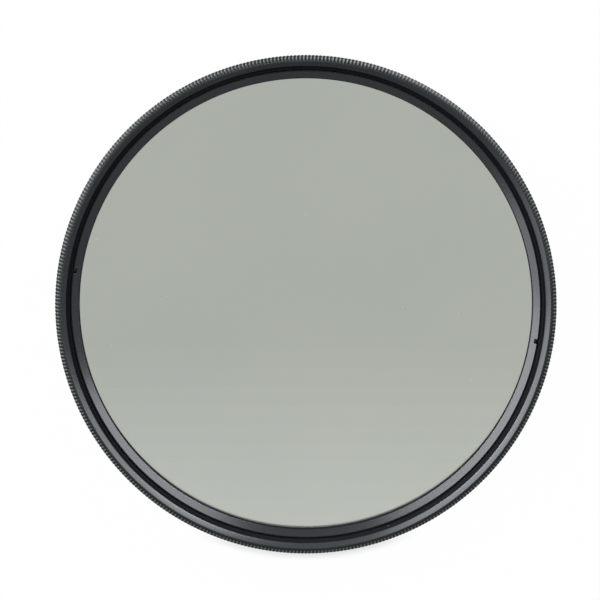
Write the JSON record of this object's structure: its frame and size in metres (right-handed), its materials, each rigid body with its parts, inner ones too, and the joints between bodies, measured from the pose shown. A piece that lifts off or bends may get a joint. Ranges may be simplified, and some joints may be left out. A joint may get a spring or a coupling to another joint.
{
  "type": "screw-in polarising lens filter",
  "caption": "Rotating screw-in polarising lens filter: a knurled front ring with a grey pane turns on a rear ring whose fine outside thread screws into a lens.",
  "frame": {"origin": "on the optical axis at the rear end of the mounting thread", "axes": "+Z along the optical axis towards the front, +X and +Y across the filter"},
  "size_m": [0.086, 0.086, 0.0088],
  "materials": {
    "anodised_rear": "black anodised, fine turning marks",
    "anodised_front": "black anodised, satin, knurled edge",
    "polarising_glass": "polished glass, grey with a slight green tint",
    "anodised_retainer": "black anodised, satin, turned",
    "spring_wire": "drawn spring wire"
  },
  "bodies": {
    "mount": {"rear_ring": "anodised_rear", "snap_wire": "spring_wire"},
    "rotator": {"front_ring": "anodised_front", "polariser_pane": "polarising_glass", "retaining_ring": "anodised_retainer"}
  },
  "joints": [
    {"name": "polariser_turn", "type": "hinge", "parent": "mount", "child": "rotator", "pos_m": [0, 0, 0.0037], "axis": [0, 0, 1], "continuous": true}
  ]
}
